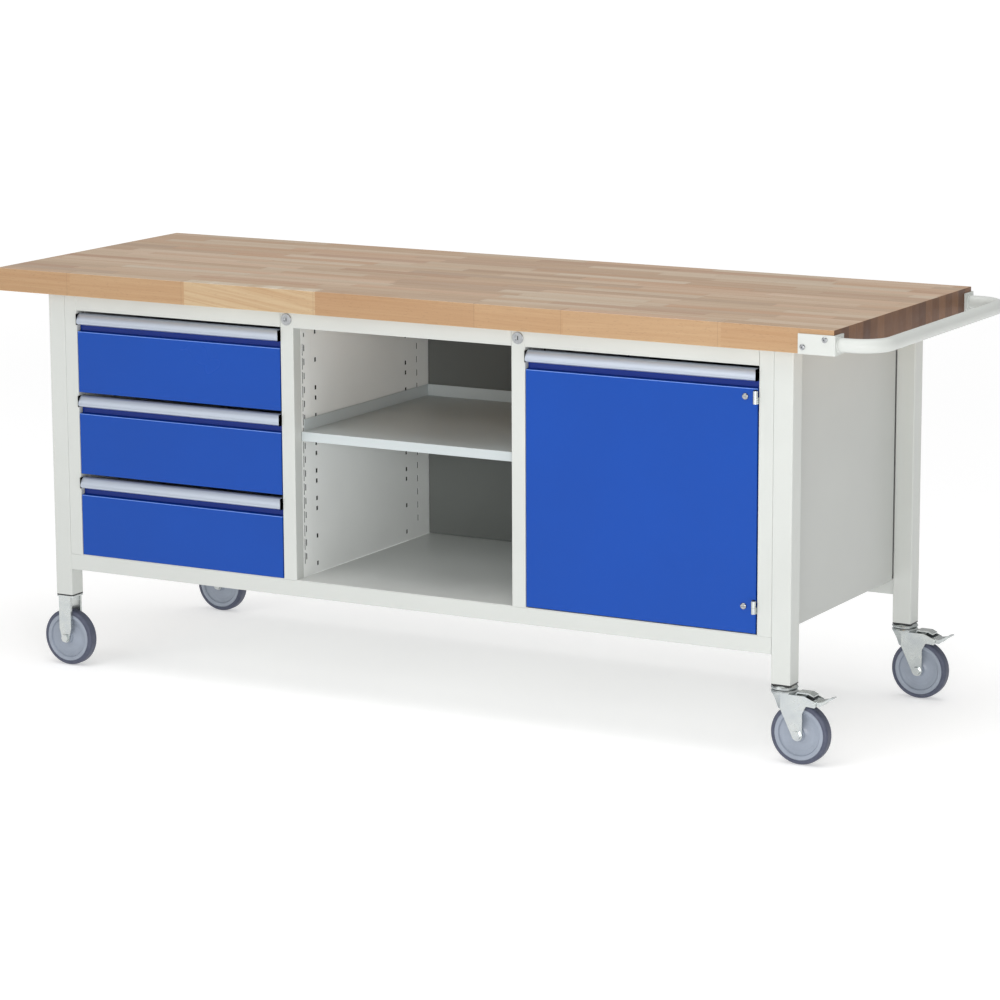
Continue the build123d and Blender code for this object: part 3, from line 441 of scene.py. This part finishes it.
# ---- modelling by hand ----------------------------------------------------------------------
def start_piece(name):
    """Name the primitive that was just added and open it for editing."""
    made = bpy.context.active_object
    made.name = name
    made.data.name = name
    bpy.ops.object.transform_apply(location=True, rotation=True, scale=True)
    bpy.ops.object.mode_set(mode="EDIT")
    return made


def add_cube(name, low, high):
    bpy.ops.object.select_all(action="DESELECT")
    size = [b - a for a, b in zip(low, high)]
    middle = [(a + b) / 2 for a, b in zip(low, high)]
    bpy.ops.mesh.primitive_cube_add(size=1.0, location=middle)
    bpy.context.active_object.scale = size
    return start_piece(name)


def trim(point, normal):
    """Cut the whole piece by a plane, drop what is beyond it and close the cut."""
    bpy.ops.mesh.select_all(action="SELECT")
    bpy.ops.mesh.bisect(plane_co=point, plane_no=normal, use_fill=True, clear_outer=True)


def end_piece(made, slot, body, bevel=0.0):
    """Round the edges, shade, give the finish and hang the piece on its body."""
    bpy.ops.mesh.select_all(action="SELECT")
    bpy.ops.mesh.normals_make_consistent(inside=False)
    bpy.ops.object.mode_set(mode="OBJECT")
    if bevel:
        rounding = made.modifiers.new("rounded", "BEVEL")
        rounding.width = bevel
        rounding.segments = 2
        rounding.limit_method = "ANGLE"
        rounding.angle_limit = math.radians(30.0)
        bpy.ops.object.modifier_apply(modifier=rounding.name)
    bpy.ops.object.shade_smooth_by_angle(angle=math.radians(35.0))
    made.data.materials.clear()
    made.data.materials.append(FINISHES[slot])
    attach(made, body)
    return made


def copy_to(original, name, move, body):
    """A copy with its own mesh, moved, on its own body."""
    mesh = original.data.copy()
    mesh.name = name
    made = bpy.data.objects.new(name, mesh)
    bpy.context.scene.collection.objects.link(made)
    bpy.ops.object.select_all(action="DESELECT")
    made.select_set(True)
    bpy.context.view_layer.objects.active = made
    bpy.ops.object.mode_set(mode="EDIT")
    bpy.ops.mesh.select_all(action="SELECT")
    bpy.ops.transform.translate(value=move)
    bpy.ops.object.mode_set(mode="OBJECT")
    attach(made, body)


# ---- black end caps of the grip strips ------------------------------------------------------
CAP_THICK = 0.0011
CAP_GAP = 0.0001                # air between a cap and the end of its strip
OUTLINE_TOP = 0.006             # the outline's zero height, above the top of the strip
# a cap's outline, just inside the strip's, in millimetres: Y back from the frame's front,
# Z up from the zero height
GRIP_OUTLINE = ((10.8, -6.4), (6.6, -6.4), (2.3, -8.7), (-2.1, -13.4), (-5.1, -18.7),
                (-6.6, -24.9), (-5.2, -27.7), (2.0, -30.6), (10.8, -29.8))


def grip_cap(name, x0, x1, front, top, body):
    """A closed cap with the outline of the strip that it plugs."""
    ys = [front + y / 1000 for y, _z in GRIP_OUTLINE]
    zs = [top + z / 1000 for _y, z in GRIP_OUTLINE]
    made = add_cube(name, (x0, min(ys), min(zs)), (x1, max(ys), max(zs)))
    for i in range(1, len(ys) - 1):
        dy, dz = ys[i + 1] - ys[i], zs[i + 1] - zs[i]
        trim((x0, ys[i], zs[i]), (0.0, dz, -dy))
    return end_piece(made, "cap_plastic", body, bevel=0.0004)


def grip_caps():
    """One cap at each end of the four strips, all copies of the first."""
    front_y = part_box("bottom_rails")[0].y
    low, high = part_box("drawer_1_grip")
    first = grip_cap("drawer_1_cap_left", low.x - CAP_THICK, low.x - CAP_GAP, front_y,
                     high.z + OUTLINE_TOP, "drawer_1")
    for body in ("drawer_1", "drawer_2", "drawer_3", "door"):
        strip_low, strip_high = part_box(f"{body}_grip")
        down = strip_high.z - high.z
        if body != "drawer_1":
            copy_to(first, f"{body}_cap_left", (strip_low.x - low.x, 0, down), body)
        across = strip_high.x - low.x + CAP_THICK + CAP_GAP
        copy_to(first, f"{body}_cap_right", (across, 0, down), body)


# ---- weld beads of the push bar -------------------------------------------------------------
BEAD_RADIUS = 0.0020
BEAD_RIPPLES = 18
BEAD_STEPS = 72                 # points round the bead


def weld_beads():
    """A rippled bead round each end of the tube, where it meets its bracket."""
    tube_low, tube_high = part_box("push_bar")
    radius = (tube_high.z - tube_low.z) / 2
    middle_z = (tube_low.z + tube_high.z) / 2
    front_y = tube_low.y + radius
    centre = (tube_low.x + 0.0008, front_y, middle_z)
    bpy.ops.object.select_all(action="DESELECT")
    bpy.ops.mesh.primitive_torus_add(location=centre, rotation=(0, math.pi / 2, 0),
                                     major_segments=BEAD_STEPS, minor_segments=10,
                                     major_radius=radius + 0.0006, minor_radius=BEAD_RADIUS)
    bead = start_piece("bar_weld_front")
    bpy.ops.mesh.select_all(action="DESELECT")
    bpy.ops.object.mode_set(mode="OBJECT")
    for vertex in bead.data.vertices:
        turn = math.atan2(vertex.co.z - middle_z, vertex.co.y - front_y) / math.tau
        half_ripples = turn * 2 * BEAD_RIPPLES + BEAD_RIPPLES + 0.01
        vertex.select = math.floor(half_ripples) % 2 == 0
    bpy.ops.object.mode_set(mode="EDIT")
    bpy.ops.transform.resize(value=(0.72, 1.012, 1.012), center_override=centre)
    end_piece(bead, "frame_paint", "bench")
    copy_to(bead, "bar_weld_rear", (0, tube_high.y - radius - front_y, 0), "bench")


grip_caps()
weld_beads()


# ---- floor, light and camera ----------------------------------------------------------------
def studio_floor():
    """A wide pale floor that glows as painted light, a little brighter far from the bench."""
    bpy.ops.object.select_all(action="DESELECT")
    bpy.ops.mesh.primitive_plane_add(size=90.0, location=(0, 0, -0.0005))
    floor = bpy.context.active_object
    floor.name = "studio_floor"
    pale = Finish("pale_floor_painted_glow")
    drift = pale.noise(pale.place, 0.4, 2.0)
    tint = pale.ramp(drift, [(0.3, (0.76, 0.76, 0.76)), (0.7, (0.79, 0.79, 0.79))])
    reach = pale.add("ShaderNodeVectorMath", {0: pale.place}, operation="LENGTH").outputs[1]
    # painted light: the floor's glow, weaker near the bench and stronger far from it
    glow = pale.between(reach, 2.0, 11.0, 0.38, 0.80)
    floor.data.materials.append(pale.finish(Base_Color=tint, Roughness=0.9,
                                            Specular_IOR_Level=0.1,
                                            Emission_Color=(1.0, 1.0, 1.0, 1.0),
                                            Emission_Strength=glow))


def soft_light(name, place, aim, size, watts):
    lamp = bpy.data.lights.new(name, "AREA")
    lamp.shape = "RECTANGLE"
    lamp.size, lamp.size_y = size
    lamp.energy = watts
    made = bpy.data.objects.new(name, lamp)
    made.location = place
    made.rotation_mode = "QUATERNION"
    made.rotation_quaternion = (Vector(aim) - Vector(place)).to_track_quat("-Z", "Y")
    bpy.context.scene.collection.objects.link(made)


def studio_camera():
    lens = bpy.data.cameras.new("bench_view")
    lens.lens = 132.47
    lens.sensor_width = 36.0
    lens.clip_end = 200.0
    made = bpy.data.objects.new("bench_view", lens)
    made.location = (3.815, -6.793, 1.943)
    made.rotation_euler = (math.radians(78.81), math.radians(0.24), math.radians(29.18))
    bpy.context.scene.collection.objects.link(made)
    bpy.context.scene.camera = made


def studio_sky():
    sky = bpy.data.worlds.new("studio_sky")
    sky.use_nodes = True
    glow = sky.node_tree.nodes["Background"]
    glow.inputs["Color"].default_value = (1.0, 1.0, 1.0, 1.0)
    glow.inputs["Strength"].default_value = 0.46
    bpy.context.scene.world = sky


studio_floor()
studio_sky()
studio_camera()
soft_light("key_panel", (-2.6, -6.5, 4.2), (0.0, 0.0, 0.5), (5.0, 3.5), 100.0)
soft_light("top_panel", (0.4, -0.5, 5.0), (0.0, 0.0, 0.8), (5.0, 4.0), 130.0)
soft_light("bay_panel", (2.3, -3.8, 1.0), (-0.3, 0.0, 0.55), (1.6, 1.2), 66.0)
bpy.context.scene.view_settings.view_transform = "Standard"
bpy.context.scene.view_settings.look = "None"
